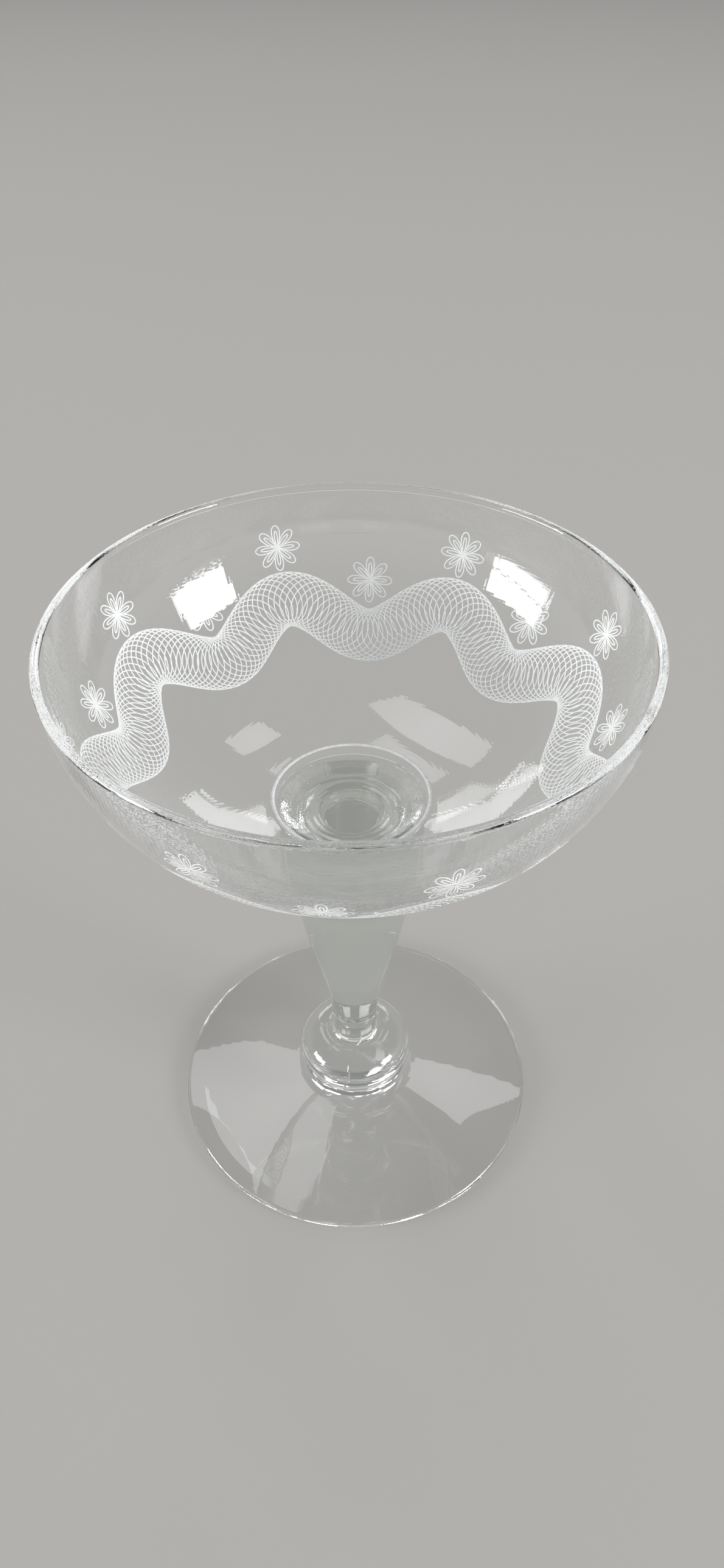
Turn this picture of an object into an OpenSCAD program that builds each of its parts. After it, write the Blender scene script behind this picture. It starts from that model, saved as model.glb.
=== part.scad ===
// Champagne coupe: a wide shallow bowl on a solid flared stem, with a knop above a round foot.
// The four pieces of glass meet at flat weld faces round the axis.
// A pit in the bowl's floor runs on down into the stem's head.
// Millimetres. The origin is the centre of the foot's underside, and +Z is up.

/* [Bowl] */
// Diameter across the rim
rim_d = 96; // [80:0.5:120]
// Height of the rim above the table
height = 116; // [98:0.5:150]
// Depth of the bowl's outside, from the rim to where its underside would meet the axis
bowl_depth = 39; // [32:0.5:46]
// Thickness of the wall below the rim
wall_t = 1.2; // [0.9:0.05:1.8]
// Thickness that the bowl's floor would have on the axis without the pit
floor_t = 2.9; // [2.5:0.1:3.5]
// Thickness of the fire-polished bead along the rim
bead_d = 1.5; // [1.3:0.05:2.2]
// Lean of the wall at the rim, away from upright, in degrees
rim_lean = 1.8; // [0.5:0.1:4]

/* [Pit] */
// Diameter of the pit across its edge, in the bowl's floor
pit_d = 26; // [24:0.5:28]
// Diameter of the shelf in the pit
shelf_d = 18.4; // [16:0.2:20]
// Depth of the shelf below the weld
shelf_drop = 1.1; // [0.6:0.1:1.6]
// Diameter of the well in the middle of the shelf
well_d = 10.8; // [8:0.2:12]
// Depth of the well below the shelf
well_depth = 1.6; // [1:0.1:2.2]
// Lean of the well's wall, away from upright, in degrees
well_lean = 14; // [6:1:24]
// How far from each corner in the pit its rounding begins
pit_rounding = 0.6; // [0.3:0.05:0.9]

/* [Stem] */
// Diameter of the stem's head, where it is welded under the bowl
head_d = 28; // [24:0.5:34]
// Radius of the hollow corner between the stem's head and the bowl
head_fillet = 0.8; // [0.4:0.1:1.6]
// Lean of the stem's side just below its head, in degrees
head_lean = 4.2; // [2:0.1:5.5]
// Diameter of the stem's neck, where it is thinnest
neck_d = 8.8; // [7:0.1:11]

/* [Knop] */
// Diameter of the knop at its widest
knop_d = 22.7; // [19:0.1:28]
// Thickness of the knop, which is the diameter of its round edge
knop_t = 10.6; // [9:0.1:12]
// Height of the knop's widest line above the table
knop_z = 11; // [9.5:0.1:13]
// Radius of the hollow corner between the knop and the neck
neck_fillet = 1.9; // [1:0.1:2.6]

/* [Foot] */
// Diameter of the foot
foot_d = 73; // [60:0.5:90]
// Thickness of the foot's rounded edge
foot_edge_t = 1.6; // [1.2:0.1:2.4]
// Slope of the foot's upper side, in degrees
foot_slope = 8.5; // [6:0.1:11]
// Radius of the hollow corner between the foot and the knop
hub_fillet = 2.2; // [1.2:0.1:3.2]
// Width of the flat ring that the glass stands on
land_w = 3; // [2:0.1:6]
// Depth of the hollow under the foot
recess_depth = 1.6; // [0.8:0.1:2.2]

/* [Hidden] */
// Radius of the bowl's shoulder, as a share of the bowl's depth
shoulder_share = 0.934;
// Largest radius of the shoulder, as a share of the rim's radius
shoulder_limit_share = 0.97;
// Largest rounding in the pit, as a share of the well's depth
rounding_limit_share = 0.45;
// How far the stem's side runs on straight from its neck, as a share of the stem's length
neck_pull_share = 0.283;
// How far the stem's side runs straight up to its head, as a share of the stem's length
head_pull_share = 0.585;
// Number of steps along the stem's side, and round each corner of the stem
side_steps = 36;
corner_steps = 12;
// How far a cutting or clipping shape runs past what it cuts
overrun = 1;
// Tint of the clear glass
glass = [0.84, 0.89, 0.87, 0.55];
$fn = 360;

// The bowl's section is a shoulder arc that runs into a floor arc centred on the axis
rim_r = rim_d / 2;
bead_r = bead_d / 2;
bead_z = height - bead_r;
bowl_base_z = height - bowl_depth;
shoulder_r = min(shoulder_share * bowl_depth, shoulder_limit_share * rim_r);
shoulder_x = rim_r - shoulder_r * cos(rim_lean);
shoulder_z = height + shoulder_r * sin(rim_lean);

// Radius of the arc centred on the axis that touches the shoulder arc from outside
function floor_arc_r(side_r, drop) =
    (shoulder_x * shoulder_x + drop * drop - side_r * side_r) / (2 * (drop - side_r));

under_r = floor_arc_r(shoulder_r, shoulder_z - bowl_base_z);

// The weld between bowl and stem is the disc that the head's diameter cuts from the underside
weld_r = head_d / 2;
weld_z = bowl_base_z + under_r - sqrt(under_r * under_r - weld_r * weld_r);

// The pit's side runs straight from its edge to its shelf, and crosses the weld on the way
inside_r = floor_arc_r(shoulder_r - wall_t, shoulder_z - bowl_base_z - floor_t);
pit_r = pit_d / 2;
pit_z = bowl_base_z + floor_t + inside_r - sqrt(inside_r * inside_r - pit_r * pit_r);
shelf = [shelf_d / 2, weld_z - shelf_drop];
well_edge = [well_d / 2, shelf.y];
well_floor = well_edge - well_depth * [tan(well_lean), 1];
rounding = min(pit_rounding, rounding_limit_share * well_depth);

// Point of the pit's side at a height
function pit_side(z) = [shelf.x + (pit_r - shelf.x) * (z - shelf.y) / (pit_z - shelf.y), z];

// Points of a rounded corner q on the way from p to s
function rounded(p, q, s) = [for (i = [0:corner_steps]) let (t = i / corner_steps)
    q + rounding * (pow(1 - t, 2) * (p - q) / norm(p - q) + t * t * (s - q) / norm(s - q))];

// The knop's edge is a circle, and the neck and the foot run into it through hollow corners
neck_r = neck_d / 2;
edge_r = knop_t / 2;
edge_x = knop_d / 2 - edge_r;
neck_fillet_x = neck_r + neck_fillet;
neck_reach = max(neck_fillet_x - edge_x, 0);
neck_z = knop_z + sqrt(pow(edge_r + neck_fillet, 2) - neck_reach * neck_reach);

// The stem's side is one smooth curve that leaves the neck upright and leans out at the head
head_r = weld_r - head_fillet * cos(head_lean);
head_z = weld_z - head_fillet * (1 - sin(head_lean));
head_centre = [weld_r, weld_z - head_fillet];
stem_h = head_z - neck_z;
stem_side = [[neck_r, neck_z], [neck_r, neck_z + neck_pull_share * stem_h],
    [head_r, head_z] - head_pull_share * stem_h * [tan(head_lean), 1], [head_r, head_z]];

// Point at share t of the way along a cubic curve with four control points
function along(p, t) = pow(1 - t, 3) * p[0] + 3 * t * pow(1 - t, 2) * p[1]
    + 3 * t * t * (1 - t) * p[2] + pow(t, 3) * p[3];

// The foot's upper side is a cone that touches its round edge and the hollow corner at the knop
foot_r = foot_d / 2;
foot_edge_r = foot_edge_t / 2;
foot_edge_x = foot_r - foot_edge_r;
foot_edge_top = [foot_edge_x, foot_edge_r] + foot_edge_r * [sin(foot_slope), cos(foot_slope)];
foot_top_z = foot_edge_top.y + foot_edge_top.x * tan(foot_slope);
hub_rise = foot_top_z + hub_fillet / cos(foot_slope) - knop_z;
hub_reach = edge_r + hub_fillet;
hub_mid = edge_x + hub_rise * tan(foot_slope);
hub_spread = edge_x * edge_x + hub_rise * hub_rise - hub_reach * hub_reach;
hub_x = cos(foot_slope) * (cos(foot_slope) * hub_mid
    + sqrt(pow(cos(foot_slope) * hub_mid, 2) - hub_spread));
hub_centre = [hub_x, knop_z + hub_rise - hub_x * tan(foot_slope)];
hub_foot = hub_centre - hub_fillet * [sin(foot_slope), cos(foot_slope)];
seat = [edge_x, knop_z] + (hub_centre - [edge_x, knop_z]) * edge_r / hub_reach;
recess_edge_r = foot_edge_x - land_w;
recess_r = (recess_edge_r * recess_edge_r + recess_depth * recess_depth) / (2 * recess_depth);

// A round corner or edge of a section
module disc_at(centre, r) {
    translate(centre) circle(r);
}

// The part of a section between two heights, to the right of the axis
module between(low, high, reach) {
    intersection() {
        translate([0, low]) square([reach, high - low]);
        children();
    }
}

// Half of the bowl's section, filled: the floor arc up to where it touches the shoulder arc
module bowl_fill(side_r, base_z) {
    drop = shoulder_z - base_z;
    arc_r = floor_arc_r(side_r, drop);
    centre = [0, base_z + arc_r];
    shoulder = [shoulder_x, shoulder_z];
    past = (arc_r + overrun) / norm(shoulder - centre);
    disc_at(shoulder, side_r);
    intersection() {
        disc_at(centre, arc_r);
        polygon([centre, [0, base_z - overrun], [shoulder_x * past, base_z - overrun],
            centre + (shoulder - centre) * past]);
    }
}

// Rounded conical foot with a hub that runs up into the knop, hollow underneath
module foot() {
    color(glass) rotate_extrude() difference() {
        between(0, seat.y, foot_r) {
            disc_at([foot_edge_x, foot_edge_r], foot_edge_r);
            polygon([[0, 0], [foot_edge_x, 0], foot_edge_top, [0, foot_top_z]]);
            difference() {
                polygon([[0, 0], hub_foot, hub_centre, seat, [0, seat.y]]);
                disc_at(hub_centre, hub_fillet);
            }
        }
        disc_at([0, recess_depth - recess_r], recess_r);
    }
}

// Round knop with the hollow corner that leads up to the neck
module knop() {
    color(glass) rotate_extrude() between(seat.y, neck_z, knop_d) {
        disc_at([edge_x, knop_z], edge_r);
        translate([0, knop_z - edge_r]) square([edge_x, knop_t]);
        difference() {
            polygon([[0, knop_z], [min(edge_x, neck_fillet_x), knop_z],
                [neck_fillet_x, neck_z], [0, neck_z]]);
            disc_at([neck_fillet_x, neck_z], neck_fillet);
        }
    }
}

// Solid stem, drawn out to a thin neck below and to a broad head above, with the pit's shelf and well
module stem() {
    side = [for (i = [0:side_steps]) along(stem_side, i / side_steps)];
    turns = [for (i = [1:corner_steps]) head_lean + (90 - head_lean) * i / corner_steps];
    corner = [for (a = turns) head_centre + head_fillet * [-cos(a), sin(a)]];
    middle = [0, well_floor.y];
    hollow = concat([pit_side(weld_z)], rounded(pit_side(weld_z), shelf, well_edge),
        rounded(shelf, well_edge, well_floor), rounded(well_edge, well_floor, middle), [middle]);
    color(glass) rotate_extrude() polygon(concat([[0, neck_z]], side, corner, hollow));
}

// Blown bowl with a thin wall, a thicker floor that the pit goes through, and a bead along the rim
module bowl() {
    color(glass) rotate_extrude() {
        difference() {
            between(weld_z, bead_z, rim_d) bowl_fill(shoulder_r, bowl_base_z);
            bowl_fill(shoulder_r - wall_t, bowl_base_z + floor_t);
            polygon([[0, weld_z - overrun], pit_side(weld_z - overrun), pit_side(pit_z + overrun),
                [0, pit_z + overrun]]);
        }
        disc_at([rim_r - bead_r, bead_z], bead_r);
    }
}

foot();
knop();
stem();
bowl();
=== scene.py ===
from math import asin, atan2, cos, hypot, pi, radians, sin, sqrt, tan

import bpy
from mathutils import Matrix, Vector


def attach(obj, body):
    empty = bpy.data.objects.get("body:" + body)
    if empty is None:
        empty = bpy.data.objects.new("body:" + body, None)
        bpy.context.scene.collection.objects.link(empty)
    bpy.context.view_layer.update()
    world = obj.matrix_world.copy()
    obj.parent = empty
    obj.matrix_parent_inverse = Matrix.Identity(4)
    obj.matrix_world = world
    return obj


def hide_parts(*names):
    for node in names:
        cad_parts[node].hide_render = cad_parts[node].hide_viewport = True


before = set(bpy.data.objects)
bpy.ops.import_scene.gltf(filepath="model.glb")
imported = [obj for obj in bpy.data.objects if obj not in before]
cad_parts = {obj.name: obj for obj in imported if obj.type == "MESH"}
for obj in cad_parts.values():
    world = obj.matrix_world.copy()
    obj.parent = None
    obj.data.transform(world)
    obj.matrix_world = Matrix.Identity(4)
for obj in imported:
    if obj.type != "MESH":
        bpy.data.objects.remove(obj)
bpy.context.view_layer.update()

# The bowl: colourless glass, blown thin at the wall and left thicker at the floor.
# Its rim was cracked off and melted round in a flame, which left a small bead.
# It is fused to the head of the stem round a pit in its floor.
MM = 0.001
rim_r = 48.0
height = 116.0
bowl_depth = 39.0
wall_t = 1.2
floor_t = 2.9
bead_r = 0.75
rim_lean = radians(1.8)
weld_r = 14.0
pit_r = 13.0
lip_r = 0.55
lip_rise = 0.3
shelf_r = 9.2
shelf_drop = 1.1
shoulder_share = 0.934
shoulder_r = shoulder_share * bowl_depth
shoulder = (rim_r - shoulder_r * cos(rim_lean), height + shoulder_r * sin(rim_lean))
base_z = height - bowl_depth
bead = (rim_r - bead_r, height - bead_r)


def arc(centre, r, start, stop, steps):
    """Points of an outline on an arc; the angle starts straight down and grows outwards."""
    turns = [start + (stop - start) * i / steps for i in range(steps + 1)]
    return [(centre[0] + r * sin(a), centre[1] - r * cos(a)) for a in turns]


def bearing(centre, point):
    """Angle at which a point of an arc lies, from straight down."""
    return atan2(point[0] - centre[0], centre[1] - point[1])


def lower_meeting(c0, r0, c1, r1):
    """The lower of the two points where two circles of an outline meet."""
    dx, dz = c1[0] - c0[0], c1[1] - c0[1]
    gap = hypot(dx, dz)
    near = (gap * gap + r0 * r0 - r1 * r1) / (2 * gap)
    off = sqrt(r0 * r0 - near * near)
    foot_point = (c0[0] + near * dx / gap, c0[1] + near * dz / gap)
    sides = [(foot_point[0] + k * off * dz / gap, foot_point[1] - k * off * dx / gap)
             for k in (-1, 1)]
    return min(sides, key=lambda p: p[1])


def floor_arc(side_r, low_z):
    """Centre and radius of the arc on the axis that runs into the shoulder arc, and its turn there."""
    drop = shoulder[1] - low_z
    r = (shoulder[0] ** 2 + drop ** 2 - side_r ** 2) / (2 * (drop - side_r))
    centre = (0.0, low_z + r)
    return centre, r, atan2(shoulder[0], centre[1] - shoulder[1])


def node(tree, kind, links=(), **settings):
    """Adds a node with its settings, and links or sets its sockets."""
    made = tree.nodes.new(kind)
    for key, value in settings.items():
        setattr(made, key, value)
    for key, value in dict(links).items():
        if isinstance(value, bpy.types.Node):
            value = value.outputs[0]
        if isinstance(value, bpy.types.NodeSocket):
            tree.links.new(value, made.inputs[key])
        else:
            made.inputs[key].default_value = value
    return made


def hue(code):
    """An sRGB hex colour as linear light."""
    parts = [int(code[i:i + 2], 16) / 255 for i in (1, 3, 5)]
    return [p / 12.92 if p <= 0.04045 else ((p + 0.055) / 1.055) ** 2.4 for p in parts] + [1.0]


def new_tree(name, sockets):
    """An empty tree of geometry nodes with named inputs and outputs."""
    tree = bpy.data.node_groups.new(name, "GeometryNodeTree")
    for way, kind, title in sockets:
        tree.interface.new_socket(title, in_out=way, socket_type="NodeSocket" + kind)
    return tree


def grown(name, tree, sizes, mesh=None):
    """Runs a tree on a new object and keeps what it makes as a plain mesh."""
    piece = bpy.data.objects.new(name, mesh or bpy.data.meshes.new(name))
    bpy.context.scene.collection.objects.link(piece)
    maker = piece.modifiers.new(name, "NODES")
    maker.node_group = tree
    for socket in tree.interface.items_tree:
        if socket.name in sizes:
            maker[socket.identifier] = sizes[socket.name]
    seen = piece.evaluated_get(bpy.context.evaluated_depsgraph_get())
    made = bpy.data.meshes.new_from_object(seen)
    piece.modifiers.clear()
    piece.data = made
    made.name = name
    return piece


# The turning tree spins an outline round the axis, as glass is turned on the blowing iron.
turning = new_tree("turned_glass", (
    ("INPUT", "Geometry", "Outline"), ("INPUT", "Int", "Outline Points"),
    ("INPUT", "Int", "Steps Round"), ("INPUT", "Float", "Ripple Depth"),
    ("INPUT", "Float", "Ripple Spacing"), ("INPUT", "Float", "Seam Height"),
    ("INPUT", "Float", "Seam Width"), ("INPUT", "Float", "Seam Bearing"),
    ("INPUT", "Float", "Seam Curl"), ("INPUT", "Float", "Curl Start"),
    ("INPUT", "Float", "Curl End"), ("INPUT", "Material", "Glass"), ("INPUT", "Material", "Weld"),
    ("INPUT", "Material", "Painted Highlight"), ("OUTPUT", "Geometry", "Piece")))
# The last mark picks the faces painted white as a highlight.
row_marks = ("weld", "ripple", "seam", "wear_and_highlight")
given = node(turning, "NodeGroupInput").outputs
rows = node(turning, "FunctionNodeIntegerMath", {0: given["Steps Round"], 1: 1}, operation="ADD")
index = node(turning, "GeometryNodeInputIndex")
along = node(turning, "FunctionNodeIntegerMath", {0: index, 1: rows}, operation="DIVIDE_FLOOR")
step = node(turning, "FunctionNodeIntegerMath", {0: index, 1: rows}, operation="MODULO")
share = node(turning, "ShaderNodeMath", {0: step, 1: given["Steps Round"]}, operation="DIVIDE")
angle = node(turning, "ShaderNodeMath", {0: share, 1: 2 * pi}, operation="MULTIPLY")
marks = node(turning, "GeometryNodeMeshGrid", {
    "Vertices X": given["Outline Points"], "Vertices Y": rows})
for mark in row_marks:
    told = node(turning, "GeometryNodeInputNamedAttribute", {"Name": mark}, data_type="FLOAT")
    picked = node(turning, "GeometryNodeSampleIndex", {
        "Geometry": given["Outline"], "Value": told, "Index": along}, data_type="FLOAT")
    marks = node(turning, "GeometryNodeStoreNamedAttribute", {
        "Geometry": marks, "Name": mark, "Value": picked}, data_type="FLOAT", domain="POINT")
point = node(turning, "GeometryNodeSampleIndex", {
    "Geometry": given["Outline"], "Value": node(turning, "GeometryNodeInputPosition"),
    "Index": along}, data_type="FLOAT_VECTOR")
reach = node(turning, "ShaderNodeSeparateXYZ", {0: point}).outputs
east = node(turning, "ShaderNodeMath", {0: angle}, operation="COSINE")
north = node(turning, "ShaderNodeMath", {0: angle}, operation="SINE")
spun = node(turning, "ShaderNodeCombineXYZ", {
    "X": node(turning, "ShaderNodeMath", {0: reach["X"], 1: east}, operation="MULTIPLY"),
    "Y": node(turning, "ShaderNodeMath", {0: reach["X"], 1: north}, operation="MULTIPLY"),
    "Z": reach["Z"]})
wrapped = node(turning, "GeometryNodeSetPosition", {"Geometry": marks, "Position": spun})
same_spot = 0.0005 * MM
sharp_turn = radians(40)
closed = node(turning, "GeometryNodeMergeByDistance", {
    "Geometry": wrapped, "Distance": same_spot})
even = node(turning, "ShaderNodeMath", {
    0: node(turning, "GeometryNodeInputMeshEdgeAngle"), 1: sharp_turn}, operation="LESS_THAN")
smooth = node(turning, "GeometryNodeSetShadeSmooth", {
    "Geometry": closed, "Shade Smooth": even}, domain="EDGE")
# Hand-worked glass is never quite even: its skin dips by a few hundredths of a millimetre.
here = node(turning, "GeometryNodeInputPosition")
swell = node(turning, "ShaderNodeTexNoise", {
    "Vector": here, "Detail": 1.0,
    "Scale": node(turning, "ShaderNodeMath", {0: 1.0, 1: given["Ripple Spacing"]}, operation="DIVIDE")})
told = node(turning, "GeometryNodeInputNamedAttribute", {"Name": "ripple"}, data_type="FLOAT")
dip = node(turning, "ShaderNodeMath", {0: swell.outputs[0], 1: told}, operation="MULTIPLY")
dip = node(turning, "ShaderNodeMath", {0: dip, 1: given["Ripple Depth"]}, operation="MULTIPLY")
# The mould seam is a fine ridge on two opposite sides, and its upper end curls aside.
parts = node(turning, "ShaderNodeSeparateXYZ", {0: here}).outputs
bearing_here = node(turning, "ShaderNodeMath", {0: parts["Y"], 1: parts["X"]}, operation="ARCTAN2")
curl = node(turning, "ShaderNodeMapRange", {
    "Value": parts["Z"], "From Min": given["Curl Start"], "From Max": given["Curl End"],
    "To Min": given["Seam Bearing"], "To Max": given["Seam Curl"]}, interpolation_type="SMOOTHSTEP")
aside = node(turning, "ShaderNodeMath", {0: bearing_here, 1: curl}, operation="SUBTRACT")
aside = node(turning, "ShaderNodeMath", {0: aside}, operation="SINE")
out = node(turning, "ShaderNodeMath", {
    0: node(turning, "ShaderNodeMath", {0: parts["X"], 1: 2.0}, operation="POWER"),
    1: node(turning, "ShaderNodeMath", {0: parts["Y"], 1: 2.0}, operation="POWER")}, operation="ADD")
out = node(turning, "ShaderNodeMath", {0: out}, operation="SQRT")
aside = node(turning, "ShaderNodeMath", {0: aside, 1: out}, operation="MULTIPLY")
aside = node(turning, "ShaderNodeMath", {0: aside, 1: given["Seam Width"]}, operation="DIVIDE")
aside = node(turning, "ShaderNodeMath", {0: aside, 1: 2.0}, operation="POWER")
ridge = node(turning, "ShaderNodeMath", {
    0: 1.0, 1: node(turning, "ShaderNodeMath", {0: aside}, operation="EXPONENT")}, operation="DIVIDE")
ridge = node(turning, "ShaderNodeMath", {0: ridge, 1: given["Seam Height"]}, operation="MULTIPLY")
told = node(turning, "GeometryNodeInputNamedAttribute", {"Name": "seam"}, data_type="FLOAT")
ridge = node(turning, "ShaderNodeMath", {0: ridge, 1: told}, operation="MULTIPLY")
lift = node(turning, "ShaderNodeMath", {0: ridge, 1: dip}, operation="SUBTRACT")
lift = node(turning, "ShaderNodeVectorMath", {
    0: node(turning, "GeometryNodeInputNormal"), "Scale": lift}, operation="SCALE")
worked = node(turning, "GeometryNodeSetPosition", {"Geometry": smooth, "Offset": lift})
whole = node(turning, "GeometryNodeRealizeInstances", {"Geometry": worked})
coated = node(turning, "GeometryNodeSetMaterial", {
    "Geometry": whole, "Material": given["Glass"]})
# A face is fused, or painted white as the lip's highlight, only where all its corners are marked so.
marked_share = 0.75
for mark, finish in (("weld", "Weld"), ("wear_and_highlight", "Painted Highlight")):
    told = node(turning, "GeometryNodeInputNamedAttribute", {"Name": mark}, data_type="FLOAT")
    full = node(turning, "ShaderNodeMath", {0: told, 1: marked_share}, operation="GREATER_THAN")
    coated = node(turning, "GeometryNodeSetMaterial", {
        "Geometry": coated, "Selection": full, "Material": given[finish]})
node(turning, "NodeGroupOutput", {"Piece": coated})
no_seam = {"Seam Height": 0.0, "Seam Width": 1.0, "Seam Bearing": 0.0, "Seam Curl": 0.0,
           "Curl Start": 0.0, "Curl End": 1.0}


def turned(name, outline, steps, glass, ripple, spacing, seam=no_seam):
    """A turned piece of glass; a row is radius, height, weld, ripple, seam and, if any, painted
    highlight.
    """
    mesh = bpy.data.meshes.new(name + "_outline")
    mesh.from_pydata([(p[0] * MM, 0, p[1] * MM) for p in outline], [], [])
    for column, mark in enumerate(row_marks, 2):
        values = mesh.attributes.new(mark, "FLOAT", "POINT")
        told = [float(p[column]) if column < len(p) else 0.0 for p in outline]
        values.data.foreach_set("value", told)
    piece = grown(name, turning, {
        "Outline Points": len(outline), "Steps Round": steps, "Ripple Depth": ripple,
        "Ripple Spacing": spacing, "Glass": glass, "Weld": fused_joint,
        "Painted Highlight": painted_highlight_lip, **seam}, mesh)
    for mark in row_marks:
        piece.data.attributes.remove(piece.data.attributes[mark])
    return piece


# Inside a fused joint the glass runs on without a surface, so nothing shows there.
fused_joint = bpy.data.materials.new("fused_joint")
fused_joint.use_nodes = True
fused_joint.node_tree.nodes.clear()
node(fused_joint.node_tree, "ShaderNodeOutputMaterial", {
    "Surface": node(fused_joint.node_tree, "ShaderNodeBsdfTransparent")})


def clear_glass(name, tint, wear_and_highlight, clear_share):
    """Fire-polished glass, clear and bright, with hairline scratches 0.06 mm wide here and there."""
    scratch_gap = 0.22 * MM
    scratch_length = 4.0 * MM
    half_width_share = 0.14
    scratch_turn = (0.5, 0.4, 0.6)
    scratch_roughness = 0.4
    made = bpy.data.materials.new(name)
    made.use_nodes = True
    tree = made.node_tree
    place = node(tree, "ShaderNodeTexCoord").outputs["Object"]
    wear = None
    for long_way in (0, 1):
        cell = [1 / scratch_gap] * 3
        cell[long_way] = 1 / scratch_length
        laid = node(tree, "ShaderNodeMapping", {
            "Vector": place, "Rotation": scratch_turn, "Scale": cell})
        cells = node(tree, "ShaderNodeTexVoronoi", {"Vector": laid, "Scale": 1.0})
        near = node(tree, "ShaderNodeMath", {
            0: cells.outputs["Distance"], 1: half_width_share}, operation="LESS_THAN")
        pick = node(tree, "ShaderNodeMath", {
            0: cells.outputs["Color"], 1: 1 - wear_and_highlight}, operation="GREATER_THAN")
        line = node(tree, "ShaderNodeMath", {0: near, 1: pick}, operation="MULTIPLY")
        wear = node(tree, "ShaderNodeMath", {0: line, 1: wear}, operation="MAXIMUM") if wear else line
    shader = tree.nodes["Principled BSDF"]
    shader.inputs["Base Color"].default_value = hue(tint)
    shader.inputs["IOR"].default_value = 1.52
    shader.inputs["Transmission Weight"].default_value = 1.0
    rough = node(tree, "ShaderNodeMath", {0: wear, 1: scratch_roughness}, operation="MULTIPLY")
    tree.links.new(rough.outputs[0], shader.inputs["Roughness"])
    # Light on its way to other things passes, and loses most where the glass is seen edge on.
    edge = node(tree, "ShaderNodeValToRGB", {
        0: node(tree, "ShaderNodeLayerWeight").outputs["Facing"]})
    edge.color_ramp.elements[0].position = clear_share
    edge.color_ramp.elements[0].color = hue("#FCFCFC")
    edge.color_ramp.elements[1].color = hue("#303030")
    passed = node(tree, "ShaderNodeBsdfTransparent", {"Color": edge})
    light = node(tree, "ShaderNodeLightPath").outputs
    soft = node(tree, "ShaderNodeMixShader", {0: light["Is Diffuse Ray"], 1: shader, 2: passed})
    node(tree, "ShaderNodeOutputMaterial", {"Surface": node(tree, "ShaderNodeMixShader", {
        0: light["Is Shadow Ray"], 1: soft, 2: passed})})
    tree.nodes.remove(tree.nodes["Material Output"])
    return made


def frosted_glass(name, dull, bright, grain):
    """Roughened glass, which scatters light like fine snow and reads white; on the pit's lip its white
    is a painted highlight.
    """
    made = bpy.data.materials.new(name)
    made.use_nodes = True
    tree = made.node_tree
    frost = tree.nodes["Principled BSDF"]
    grains = node(tree, "ShaderNodeTexNoise", {
        "Vector": node(tree, "ShaderNodeTexCoord").outputs["Object"],
        "Scale": 1 / grain, "Detail": 2.0})
    tone = node(tree, "ShaderNodeValToRGB", {0: grains.outputs[0]})
    tone.color_ramp.elements[0].position = 0.3
    tone.color_ramp.elements[0].color = hue(dull)
    tone.color_ramp.elements[1].position = 0.7
    tone.color_ramp.elements[1].color = hue(bright)
    tree.links.new(tone.outputs[0], frost.inputs["Base Color"])
    frost.inputs["Roughness"].default_value = 0.6
    return made


inner_r = shoulder_r - wall_t
under, under_r, under_turn = floor_arc(shoulder_r, base_z)
inside, inside_r, inside_turn = floor_arc(inner_r, base_z + floor_t)
bead_in = lower_meeting(shoulder, inner_r, bead, bead_r)
bead_out = lower_meeting(shoulder, shoulder_r, bead, bead_r)
weld_turn = asin(weld_r / under_r)
weld_z = under[1] - under_r * cos(weld_turn)
pit_turn = asin(pit_r / inside_r)
pit_edge = (pit_r, inside[1] - inside_r * cos(pit_turn))
shelf = (shelf_r, weld_z - shelf_drop)
pit_weld = (shelf_r + (pit_r - shelf_r) * shelf_drop / (pit_edge[1] - shelf[1]), weld_z)
# A fine lip stands round the pit and runs on from its side.
# Its white frost is a painted highlight, standing in for the bright ring of light that the lip catches.
pit_lean = bearing(pit_weld, pit_edge) - pi / 2
lip_drop = (lip_r - lip_rise - lip_r * cos(pit_lean - pit_turn)) / sin(pit_lean - pit_turn)
lip = (pit_edge[0] - lip_drop * cos(pit_lean) + lip_r * sin(pit_lean),
       pit_edge[1] - lip_drop * sin(pit_lean) - lip_r * cos(pit_lean))
lip_turn = asin(1 - lip_rise / lip_r)
pit_skin = arc(lip, lip_r, pit_lean + pi, pit_turn + pi / 2 + lip_turn, 18)
lip_end = asin(pit_skin[-1][0] / inside_r)
inner_skin = arc(inside, inside_r, lip_end, inside_turn, 40)[1:]
inner_skin += arc(shoulder, inner_r, inside_turn, bearing(shoulder, bead_in), 72)[1:]
rim_skin = arc(bead, bead_r, bearing(bead, bead_in) + 2 * pi, bearing(bead, bead_out), 28)[1:]
outer_skin = arc(shoulder, shoulder_r, bearing(shoulder, bead_out), under_turn, 64)[1:]
outer_skin += arc(under, under_r, under_turn, weld_turn, 36)[1:]
# The rows of the lip carry the mark of its painted highlight.
bowl_outline = [(*pit_weld, 1, 0, 0)] + [(*p, 0, 0.2, 0, 1) for p in pit_skin]
bowl_outline += [(*p, 0, 1, 0) for p in inner_skin]
bowl_outline += [(*p, 0, 0, 0) for p in rim_skin + outer_skin[:-1]]
bowl_outline += [(weld_r, weld_z, 1, 0, 0), (*pit_weld, 1, 0, 0)]
# The lip's white frost is a painted highlight.
painted_highlight_lip = frosted_glass("painted_highlight_lip", "#E4E8E6", "#FDFEFE", 0.9 * MM)
bowl_glass = clear_glass("blown_clear_glass", "#FCFDFD", wear_and_highlight=0.012, clear_share=0.5)
bowl = turned("glass_bowl", bowl_outline, 288, bowl_glass, ripple=0.05 * MM, spacing=16 * MM)
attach(bowl, "root")
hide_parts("bowl")

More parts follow.
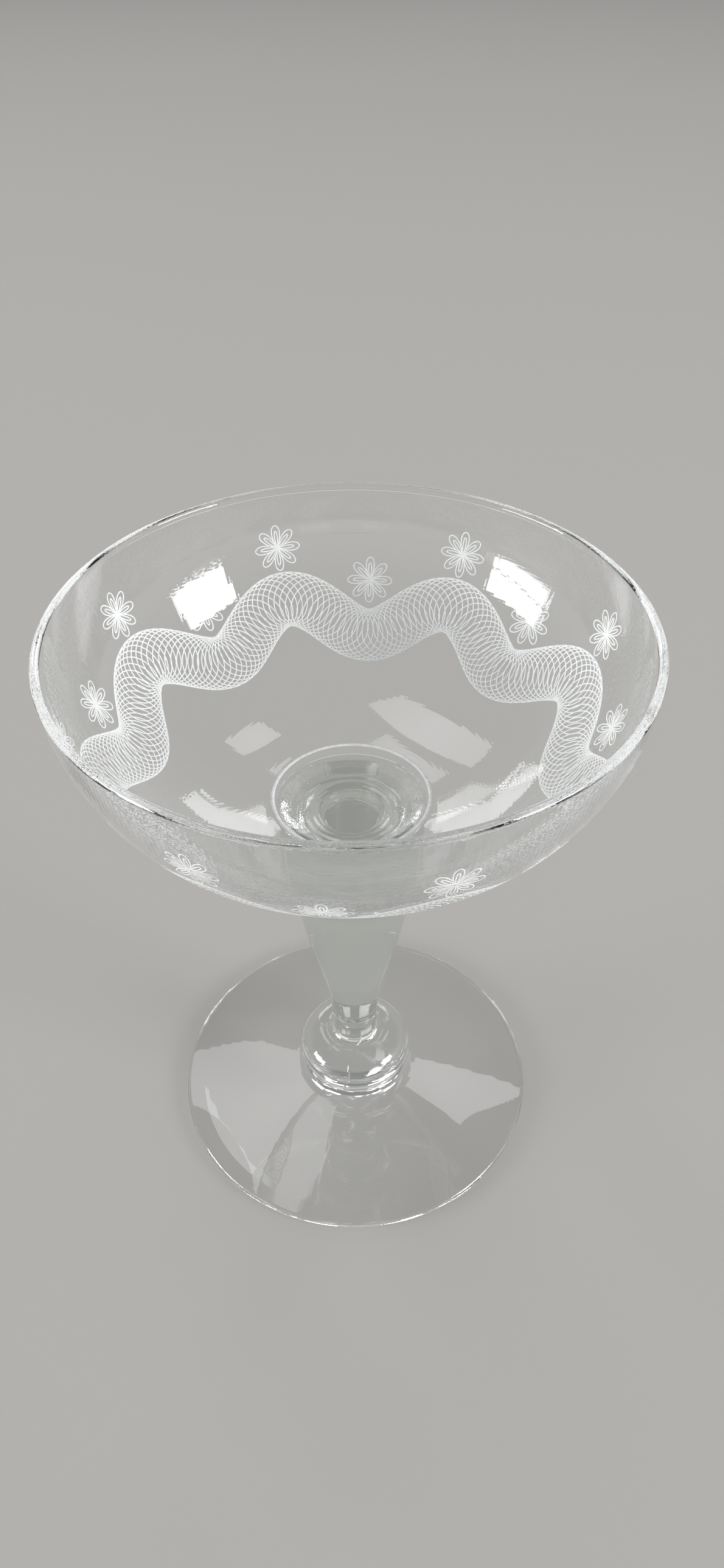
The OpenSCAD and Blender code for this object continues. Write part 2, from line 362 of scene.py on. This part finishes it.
# The stem: solid glass, drawn out hot below the bowl to a thin neck.
# A hollow corner is left where its head is fused under the bowl.
# The pit ends in its head with a shelf and a round well.
well_r = 5.4
well_depth = 1.6
well_lean = radians(14)
well_row_gap = 0.4
pit_corner = 0.7
shelf_swell = 0.2
shelf_steps = 14
head_fillet = 0.8
head_lean = radians(4.2)
neck_r = 4.4
neck_pull = 0.283
head_pull = 0.585
side_steps = 110
knop_z = 11.0
knop_r = 11.35
knop_edge_r = 5.3
neck_fillet = 1.9
knop_edge_x = knop_r - knop_edge_r
neck_fillet_x = neck_r + neck_fillet
neck_z = knop_z + sqrt((knop_edge_r + neck_fillet) ** 2 - max(neck_fillet_x - knop_edge_x, 0) ** 2)
head_centre = (weld_r, weld_z - head_fillet)
head = (weld_r - head_fillet * cos(head_lean), weld_z - head_fillet * (1 - sin(head_lean)))
stem_h = head[1] - neck_z
pulls = ((neck_r, neck_z), (neck_r, neck_z + neck_pull * stem_h),
         (head[0] - head_pull * stem_h * tan(head_lean), head[1] - head_pull * stem_h), head)


def pulled(t):
    """A point of the stem's side, as one smooth pull from the neck at 0 to the head at 1."""
    weights = ((1 - t) ** 3, 3 * t * (1 - t) ** 2, 3 * t * t * (1 - t), t ** 3)
    return tuple(sum(w * p[k] for w, p in zip(weights, pulls)) for k in (0, 1))


def rounded(p, q, s, cut, steps=10):
    """Points of an outline round its corner q, from a cut before it to a cut after it."""
    ends = [[(b - a) * cut / hypot(e[0] - q[0], e[1] - q[1]) for a, b in zip(q, e)]
            for e in (p, s)]
    shares = [i / steps for i in range(steps + 1)]
    return [tuple(q[k] + (1 - t) ** 2 * ends[0][k] + t * t * ends[1][k] for k in (0, 1))
            for t in shares]


corner = arc(head_centre, head_fillet, radians(180), radians(270) + head_lean, 14)
side = [pulled(1 - i / side_steps) for i in range(1, side_steps + 1)]
well_edge = (well_r, shelf[1])
well_floor = (well_r - well_depth * tan(well_lean), shelf[1] - well_depth)
middle = (0, well_floor[1])
hollow = [(i * well_row_gap, middle[1]) for i in range(10)]
hollow += rounded(middle, well_floor, well_edge, pit_corner)
hollow += rounded(well_floor, well_edge, shelf, pit_corner)
shelf_w = shelf_r - well_r - 2 * pit_corner
shares = [i / shelf_steps for i in range(1, shelf_steps)]
hollow += [(well_r + pit_corner + shelf_w * t, shelf[1] + shelf_swell * (1 - cos(2 * pi * t)) / 2)
           for t in shares]
hollow += rounded(well_edge, shelf, pit_weld, pit_corner)
stem_outline = [(*p, 0, 0, 0) for p in hollow] + [(*pit_weld, 1, 0, 0)]
stem_outline += [(*corner[0], 1, 0, 0)] + [(*p, 0, 0, 0) for p in corner[1:]]
stem_outline += [(*p, 0, 1 - abs(2 * i / side_steps - 1) ** 4, 0) for i, p in enumerate(side[:-1])]
stem_outline += [(neck_r, neck_z, 1, 0, 0), (0, neck_z, 1, 0, 0)]
stem_glass = clear_glass("drawn_clear_glass", "#E6EBE7", wear_and_highlight=0.02, clear_share=0.1)
stem = turned("glass_stem", stem_outline, 160, stem_glass, ripple=0.04 * MM, spacing=14 * MM)
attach(stem, "root")
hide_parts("stem")

# The knop: a solid ball of glass, pressed flat in a two-part mould that left a seam.
# Above it a hollow corner runs into the neck, and its seat is fused to the foot.
foot_r = 36.5
foot_edge_r = 0.8
foot_slope = radians(8.5)
hub_fillet = 2.2
foot_edge = (foot_r - foot_edge_r, foot_edge_r)
cone_low = (foot_edge[0] + foot_edge_r * sin(foot_slope),
            foot_edge[1] + foot_edge_r * cos(foot_slope))
cone_top_z = cone_low[1] + cone_low[0] * tan(foot_slope)
hub_rise = cone_top_z + hub_fillet / cos(foot_slope) - knop_z
hub_reach = knop_edge_r + hub_fillet
hub_mid = (knop_edge_x + hub_rise * tan(foot_slope)) * cos(foot_slope)
hub_spread = knop_edge_x ** 2 + hub_rise ** 2 - hub_reach ** 2
hub_x = cos(foot_slope) * (hub_mid + sqrt(hub_mid ** 2 - hub_spread))
hub = (hub_x, knop_z + hub_rise - hub_x * tan(foot_slope))
knop_edge = (knop_edge_x, knop_z)
seat = tuple(k + (h - k) * knop_edge_r / hub_reach for k, h in zip(knop_edge, hub))
neck_corner = (neck_fillet_x, neck_z)
knop_top = bearing(knop_edge, neck_corner)
skin = arc(neck_corner, neck_fillet, radians(270), knop_top + pi, 14)
skin += arc(knop_edge, knop_edge_r, knop_top, bearing(knop_edge, seat), 44)[1:]
last = len(skin) - 1
knop_outline = [(0, neck_z, 1, 0, 0), (neck_r, neck_z, 1, 0, 0)]
knop_outline += [(*p, 0, 0.5, sin(pi * i / last) ** 0.3) for i, p in list(enumerate(skin))[1:-1]]
knop_outline += [(*seat, 1, 0, 0), (0, seat[1], 1, 0, 0)]
knop_glass = clear_glass("pressed_clear_glass", "#EDF0EE", wear_and_highlight=0.012, clear_share=0.1)
knop_seam = {"Seam Height": 0.14 * MM, "Seam Width": 0.22 * MM, "Seam Bearing": radians(82),
             "Seam Curl": radians(104), "Curl Start": 15.7 * MM, "Curl End": 17.6 * MM}
knop = turned("glass_knop", knop_outline, 720, knop_glass, ripple=0.06 * MM, spacing=8 * MM,
              seam=knop_seam)
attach(knop, "root")
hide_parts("knop")

# The foot: a disc of glass, opened out while hot to a low cone with a rounded edge.
# It stands on a flat ring round a shallow hollow, and its hub is fused to the knop.
land_w = 3.0
recess_depth = 1.6
recess_edge = foot_edge[0] - land_w
recess_r = (recess_edge ** 2 + recess_depth ** 2) / (2 * recess_depth)
recess = (0.0, recess_depth - recess_r)
cone_high = (hub[0] - hub_fillet * sin(foot_slope), hub[1] - hub_fillet * cos(foot_slope))
hub_skin = arc(hub, hub_fillet, bearing(hub, seat), bearing(hub, cone_high), 16)
cone_skin = [tuple(a + (b - a) * i / 40 for a, b in zip(cone_high, cone_low)) for i in range(1, 41)]
edge_skin = arc(foot_edge, foot_edge_r, pi - foot_slope, 0, 24)[1:]
hollow = arc(recess, recess_r, pi - asin(recess_edge / recess_r), pi, 40)
foot_outline = [(0, seat[1], 1, 0, 0), (*seat, 1, 0, 0)] + [(*p, 0, 0.3, 0) for p in hub_skin[1:]]
foot_outline += [(*p, 0, 1, 0) for p in cone_skin] + [(*p, 0, 0, 0) for p in edge_skin]
foot_outline += [(*p, 0, 0, 0) for p in hollow]
foot_glass = clear_glass("opened_clear_glass", "#FCFDFD", wear_and_highlight=0.02, clear_share=0.65)
foot = turned("glass_foot", foot_outline, 256, foot_glass, ripple=0.06 * MM, spacing=20 * MM)
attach(foot, "root")
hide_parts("foot")

# The engraved ribbon: one unbroken line, drawn by a turning machine as loops along a wave.
# Its needle cut a wax coat on the outside of the bowl, and acid etched the line frosty white.
# A place on the wall is told by its bearing, how far aside it lies and its depth along the wall.
on_wall = new_tree("on_the_bowl_wall", (
    ("INPUT", "Float", "Bearing"), ("INPUT", "Float", "Aside"), ("INPUT", "Float", "Below Rim"),
    ("OUTPUT", "Vector", "Place"), ("OUTPUT", "Vector", "Outwards")))
given = node(on_wall, "NodeGroupInput").outputs
lean = node(on_wall, "ShaderNodeMath", {
    0: given["Below Rim"], 1: shoulder_r * MM}, operation="DIVIDE")
lean = node(on_wall, "ShaderNodeMath", {0: pi / 2 - rim_lean, 1: lean}, operation="SUBTRACT")
flat = node(on_wall, "ShaderNodeMath", {0: lean}, operation="SINE")
drop = node(on_wall, "ShaderNodeMath", {0: lean}, operation="COSINE")
ring = node(on_wall, "ShaderNodeMath", {
    0: flat, 1: shoulder_r * MM, 2: shoulder[0] * MM}, operation="MULTIPLY_ADD")
level = node(on_wall, "ShaderNodeMath", {
    0: drop, 1: -shoulder_r * MM, 2: shoulder[1] * MM}, operation="MULTIPLY_ADD")
turn = node(on_wall, "ShaderNodeMath", {0: given["Aside"], 1: ring}, operation="DIVIDE")
turn = node(on_wall, "ShaderNodeMath", {0: turn, 1: given["Bearing"]}, operation="ADD")
east = node(on_wall, "ShaderNodeMath", {0: turn}, operation="COSINE")
north = node(on_wall, "ShaderNodeMath", {0: turn}, operation="SINE")
place = node(on_wall, "ShaderNodeCombineXYZ", {
    "X": node(on_wall, "ShaderNodeMath", {0: ring, 1: east}, operation="MULTIPLY"),
    "Y": node(on_wall, "ShaderNodeMath", {0: ring, 1: north}, operation="MULTIPLY"), "Z": level})
outwards = node(on_wall, "ShaderNodeCombineXYZ", {
    "X": node(on_wall, "ShaderNodeMath", {0: flat, 1: east}, operation="MULTIPLY"),
    "Y": node(on_wall, "ShaderNodeMath", {0: flat, 1: north}, operation="MULTIPLY"),
    "Z": node(on_wall, "ShaderNodeMath", {0: drop, 1: -1.0}, operation="MULTIPLY")})
node(on_wall, "NodeGroupOutput", {"Place": place, "Outwards": outwards})


def cut_line(tree, lines, bearing_socket, aside_socket, depth_socket, given):
    """Lays flat lines on the bowl's wall and gives them the width and depth of the cut."""
    wall = node(tree, "GeometryNodeGroup", {
        "Bearing": bearing_socket, "Aside": aside_socket, "Below Rim": depth_socket},
        node_tree=on_wall)
    kept = node(tree, "GeometryNodeCaptureAttribute", {"Geometry": lines}, domain="POINT")
    kept.capture_items.new("VECTOR", "Outwards")
    tree.links.new(wall.outputs["Outwards"], kept.inputs["Outwards"])
    sunk = node(tree, "ShaderNodeVectorMath", {
        0: wall.outputs["Outwards"], "Scale": given["Sink"]}, operation="SCALE")
    spot = node(tree, "ShaderNodeVectorMath", {0: wall.outputs["Place"], 1: sunk}, operation="SUBTRACT")
    laid = node(tree, "GeometryNodeSetPosition", {"Geometry": kept, "Position": spot})
    faced = node(tree, "GeometryNodeSetCurveNormal", {
        "Curve": laid, "Normal": kept.outputs["Outwards"]}, mode="FREE")
    blade = node(tree, "GeometryNodeCurvePrimitiveQuadrilateral", {
        "Width": given["Line Depth"], "Height": given["Line Width"]})
    cut = node(tree, "GeometryNodeCurveToMesh", {"Curve": faced, "Profile Curve": blade})
    whole = node(tree, "GeometryNodeRealizeInstances", {"Geometry": cut})
    frosted = node(tree, "GeometryNodeSetMaterial", {"Geometry": whole, "Material": given["Frost"]})
    node(tree, "NodeGroupOutput", {"Cut": frosted})


cut_sockets = (
    ("INPUT", "Float", "Line Width"), ("INPUT", "Float", "Line Depth"), ("INPUT", "Float", "Sink"),
    ("INPUT", "Material", "Frost"), ("OUTPUT", "Geometry", "Cut"))
ribbon_tree = new_tree("looped_ribbon", (
    ("INPUT", "Geometry", "Start"), ("INPUT", "Int", "Loops"), ("INPUT", "Int", "Steps a Loop"),
    ("INPUT", "Int", "Waves"), ("INPUT", "Float", "Wave Height"), ("INPUT", "Float", "Middle"),
    ("INPUT", "Float", "Crest Bearing"), ("INPUT", "Float", "Loop Radius")) + cut_sockets)
given = node(ribbon_tree, "NodeGroupInput").outputs
count = node(ribbon_tree, "ShaderNodeMath", {
    0: given["Loops"], 1: given["Steps a Loop"]}, operation="MULTIPLY")
line = node(ribbon_tree, "GeometryNodeCurvePrimitiveCircle", {"Resolution": count})
index = node(ribbon_tree, "GeometryNodeInputIndex")
way = node(ribbon_tree, "ShaderNodeMath", {0: index, 1: count}, operation="DIVIDE")
way = node(ribbon_tree, "ShaderNodeMath", {0: way, 1: 2 * pi}, operation="MULTIPLY")
wave = node(ribbon_tree, "ShaderNodeMath", {0: way, 1: given["Crest Bearing"]}, operation="SUBTRACT")
wave = node(ribbon_tree, "ShaderNodeMath", {0: wave, 1: given["Waves"]}, operation="MULTIPLY")
wave = node(ribbon_tree, "ShaderNodeMath", {0: wave}, operation="COSINE")
wave = node(ribbon_tree, "ShaderNodeMath", {0: wave, 1: given["Wave Height"]}, operation="MULTIPLY")
middle = node(ribbon_tree, "ShaderNodeMath", {0: given["Middle"], 1: wave}, operation="SUBTRACT")
loop = node(ribbon_tree, "ShaderNodeMath", {0: way, 1: given["Loops"]}, operation="MULTIPLY")
aside = node(ribbon_tree, "ShaderNodeMath", {
    0: node(ribbon_tree, "ShaderNodeMath", {0: loop}, operation="COSINE"), 1: given["Loop Radius"]},
    operation="MULTIPLY")
depth = node(ribbon_tree, "ShaderNodeMath", {
    0: node(ribbon_tree, "ShaderNodeMath", {0: loop}, operation="SINE"),
    1: given["Loop Radius"], 2: middle}, operation="MULTIPLY_ADD")
cut_line(ribbon_tree, line, way, aside, depth, given)

# Acid left the lines with a fine even frost.
etched = frosted_glass("acid_etched_glass", "#EEF1F0", "#FDFEFE", 0.6 * MM)

crest_bearing = radians(17)
line_width = 0.22 * MM
line_depth = 0.062 * MM
line_sink = 0.019 * MM
ribbon = grown("engraved_ribbon", ribbon_tree, {
    "Loops": 244, "Steps a Loop": 40, "Waves": 8, "Wave Height": 4.0 * MM, "Middle": 25.4 * MM,
    "Crest Bearing": crest_bearing, "Loop Radius": 5.1 * MM, "Line Width": line_width,
    "Line Depth": line_depth, "Sink": line_sink, "Frost": etched})
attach(ribbon, "root")

# The engraved flowers: sixteen eight-petalled flowers, one over each crest and trough of the ribbon.
# Each petal is a loop with a smaller loop inside, etched like the ribbon.
flower_tree = new_tree("looped_flowers", (
    ("INPUT", "Geometry", "Start"), ("INPUT", "Int", "Flowers"), ("INPUT", "Int", "Petals"),
    ("INPUT", "Int", "Steps a Petal"), ("INPUT", "Float", "Petal Length"),
    ("INPUT", "Float", "Petal Width"), ("INPUT", "Float", "Inner Length"),
    ("INPUT", "Float", "Inner Width"), ("INPUT", "Float", "Crest Bearing"),
    ("INPUT", "Float", "Crest Depth"), ("INPUT", "Float", "Trough Depth")) + cut_sockets)
given = node(flower_tree, "NodeGroupInput").outputs
index = node(flower_tree, "GeometryNodeInputIndex")
way = node(flower_tree, "ShaderNodeMath", {0: index, 1: given["Steps a Petal"]}, operation="DIVIDE")
way = node(flower_tree, "ShaderNodeMath", {0: way, 1: pi}, operation="MULTIPLY")
rise = node(flower_tree, "ShaderNodeMath", {
    0: node(flower_tree, "ShaderNodeMath", {0: way}, operation="SINE"), 1: 2.0}, operation="POWER")
swing = node(flower_tree, "ShaderNodeMath", {
    0: node(flower_tree, "ShaderNodeMath", {0: way}, operation="COSINE"), 1: rise}, operation="MULTIPLY")
loops = node(flower_tree, "GeometryNodeJoinGeometry")
# A loop of this shape is this many times as wide as the value that drives its swing.
widest_share = 0.77
for size in ("Petal", "Inner"):
    wide = node(flower_tree, "ShaderNodeMath", {
        0: given[size + " Width"], 1: 1 / widest_share}, operation="MULTIPLY")
    out = node(flower_tree, "ShaderNodeMath", {
        0: rise, 1: given[size + " Length"]}, operation="MULTIPLY")
    aside = node(flower_tree, "ShaderNodeMath", {0: swing, 1: wide}, operation="MULTIPLY")
    spot = node(flower_tree, "ShaderNodeCombineXYZ", {"X": out, "Y": aside})
    circle = node(flower_tree, "GeometryNodeCurvePrimitiveCircle", {
        "Resolution": given["Steps a Petal"]})
    bent = node(flower_tree, "GeometryNodeSetPosition", {"Geometry": circle, "Position": spot})
    flower_tree.links.new(bent.outputs[0], loops.inputs[0])
spin = node(flower_tree, "ShaderNodeMath", {0: index, 1: given["Petals"]}, operation="DIVIDE")
spin = node(flower_tree, "ShaderNodeMath", {0: spin, 1: 2 * pi}, operation="MULTIPLY")
petals = node(flower_tree, "GeometryNodeInstanceOnPoints", {
    "Points": node(flower_tree, "GeometryNodePoints", {"Count": given["Petals"]}), "Instance": loops,
    "Rotation": node(flower_tree, "ShaderNodeCombineXYZ", {"Z": spin})})
flower = node(flower_tree, "GeometryNodeRealizeInstances", {"Geometry": petals})
around = node(flower_tree, "ShaderNodeMath", {0: index, 1: given["Flowers"]}, operation="DIVIDE")
around = node(flower_tree, "ShaderNodeMath", {
    0: around, 1: 2 * pi, 2: given["Crest Bearing"]}, operation="MULTIPLY_ADD")
odd = node(flower_tree, "ShaderNodeMath", {0: index, 1: 2.0}, operation="MODULO")
gap = node(flower_tree, "ShaderNodeMath", {
    0: given["Trough Depth"], 1: given["Crest Depth"]}, operation="SUBTRACT")
below = node(flower_tree, "ShaderNodeMath", {
    0: odd, 1: gap, 2: given["Crest Depth"]}, operation="MULTIPLY_ADD")
spots = node(flower_tree, "GeometryNodePoints", {"Count": given["Flowers"]})
for mark, value in (("bearing", around), ("depth", below)):
    spots = node(flower_tree, "GeometryNodeStoreNamedAttribute", {
        "Geometry": spots, "Name": mark, "Value": value}, data_type="FLOAT", domain="POINT")
spread = node(flower_tree, "GeometryNodeInstanceOnPoints", {"Points": spots, "Instance": flower})
spread = node(flower_tree, "GeometryNodeRealizeInstances", {"Geometry": spread})
flat = node(flower_tree, "ShaderNodeSeparateXYZ", {
    0: node(flower_tree, "GeometryNodeInputPosition")}).outputs
told = [node(flower_tree, "GeometryNodeInputNamedAttribute", {"Name": mark}, data_type="FLOAT")
        for mark in ("bearing", "depth")]
depth = node(flower_tree, "ShaderNodeMath", {0: told[1], 1: flat["Y"]}, operation="SUBTRACT")
cut_line(flower_tree, spread, told[0], flat["X"], depth, given)
flowers = grown("engraved_flowers", flower_tree, {
    "Flowers": 16, "Petals": 8, "Steps a Petal": 32, "Petal Length": 4.25 * MM,
    "Petal Width": 1.55 * MM, "Inner Length": 3.2 * MM, "Inner Width": 0.56 * MM,
    "Crest Bearing": crest_bearing, "Crest Depth": 11.6 * MM, "Trough Depth": 18.7 * MM,
    "Line Width": line_width, "Line Depth": line_depth, "Sink": line_sink, "Frost": etched})
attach(flowers, "root")

# The floor: a wide round sheet of plain pale paper that the glass stands on.
# It lies a hair below the foot, so that their two faces never coincide.
floor_r = 2.6
floor_sides = 96
floor_z = -0.02 * MM
floor_mesh = bpy.data.meshes.new("floor")
turns = [2 * pi * i / floor_sides for i in range(floor_sides)]
edge = [(floor_r * cos(a), floor_r * sin(a), floor_z) for a in turns]
floor_mesh.from_pydata(edge, [], [tuple(range(floor_sides))])
floor = bpy.data.objects.new("floor", floor_mesh)
bpy.context.scene.collection.objects.link(floor)
paper = bpy.data.materials.new("pale_paper")
paper.use_nodes = True
paper.node_tree.nodes["Principled BSDF"].inputs["Base Color"].default_value = hue("#B4B2AF")
paper.node_tree.nodes["Principled BSDF"].inputs["Roughness"].default_value = 0.8
floor_mesh.materials.append(paper)

# The light: bright studio walls under a darker ceiling, and six soft boxes with narrowed beams.
# The two at the sides light the glass, and those behind and above it leave sheens on the foot.
scene = bpy.context.scene
scene.view_settings.view_transform = "Standard"
scene.cycles.max_bounces = 32
scene.cycles.transmission_bounces = 28
scene.cycles.glossy_bounces = 16
scene.cycles.transparent_max_bounces = 64
world = bpy.data.worlds.new("studio")
scene.world = world
world.use_nodes = True
sky = world.node_tree
rise = node(sky, "ShaderNodeSeparateXYZ", {0: node(sky, "ShaderNodeTexCoord").outputs["Generated"]})
shade = node(sky, "ShaderNodeValToRGB", {0: rise.outputs["Z"]})
ceiling_rise = 0.6
shade.color_ramp.elements[0].position = 0.0
shade.color_ramp.elements[0].color = hue("#EAEAEA")
shade.color_ramp.elements[1].position = ceiling_rise
shade.color_ramp.elements[1].color = hue("#8C8C8C")
sky.links.new(shade.outputs[0], sky.nodes["Background"].inputs["Color"])
sky.nodes["Background"].inputs["Strength"].default_value = 1.0
box_spread = radians(100)
for name, place, aim, size, watts in (
        ("right_box", (2.27, -1.06, 0.95), (0, 0, 0.08), (1.1, 0.9), 19.0),
        ("left_box", (-2.4, -0.65, 0.55), (0, 0, 0.1), (1.2, 0.8), 16.5),
        ("back_left_box", (-0.95, 2.35, 1.25), (0, 0, 0.05), (1.1, 0.6), 2.6),
        ("back_right_box", (0.75, 2.45, 1.3), (0, 0, 0.05), (0.7, 0.6), 1.7),
        ("top_left_box", (-0.66, 1.08, 2.2), (0, 0, 0), (0.42, 1.4), 1.6),
        ("top_right_box", (0.8, 1.25, 2.2), (0, 0, 0), (0.3, 0.5), 0.4)):
    lamp = bpy.data.lights.new(name, "AREA")
    lamp.shape = "RECTANGLE"
    lamp.size, lamp.size_y = size
    lamp.energy = watts
    lamp.spread = box_spread
    box = bpy.data.objects.new(name, lamp)
    facing = (Vector(aim) - Vector(place)).to_track_quat("-Z", "Y").to_matrix().to_4x4()
    box.matrix_world = Matrix.Translation(place) @ facing
    box.visible_camera = False
    scene.collection.objects.link(box)

# The camera: close above the near side, looking down into the bowl.
photo_long_side = 2576
focal_pixels = 1885.95
yaw, pitch, roll = 0.0123, 0.7227, -0.0065
ahead = (sin(yaw) * cos(pitch), cos(yaw) * cos(pitch), -sin(pitch))
right = (cos(yaw), -sin(yaw), 0.0)
up = (right[1] * ahead[2] - right[2] * ahead[1], right[2] * ahead[0] - right[0] * ahead[2],
      right[0] * ahead[1] - right[1] * ahead[0])
across = [cos(roll) * a + sin(roll) * b for a, b in zip(right, up)]
upright = [cos(roll) * b - sin(roll) * a for a, b in zip(right, up)]
eye = (0.0, -147.38 * MM, 213.84 * MM)
camera_data = bpy.data.cameras.new("camera")
camera_data.sensor_width = 36.0
camera_data.lens = focal_pixels * camera_data.sensor_width / photo_long_side
camera_data.clip_start = 0.005
camera = bpy.data.objects.new("camera", camera_data)
axes = [(across[k], upright[k], -ahead[k], eye[k]) for k in range(3)]
camera.matrix_world = Matrix(axes + [(0, 0, 0, 1)])
scene.collection.objects.link(camera)
scene.camera = camera
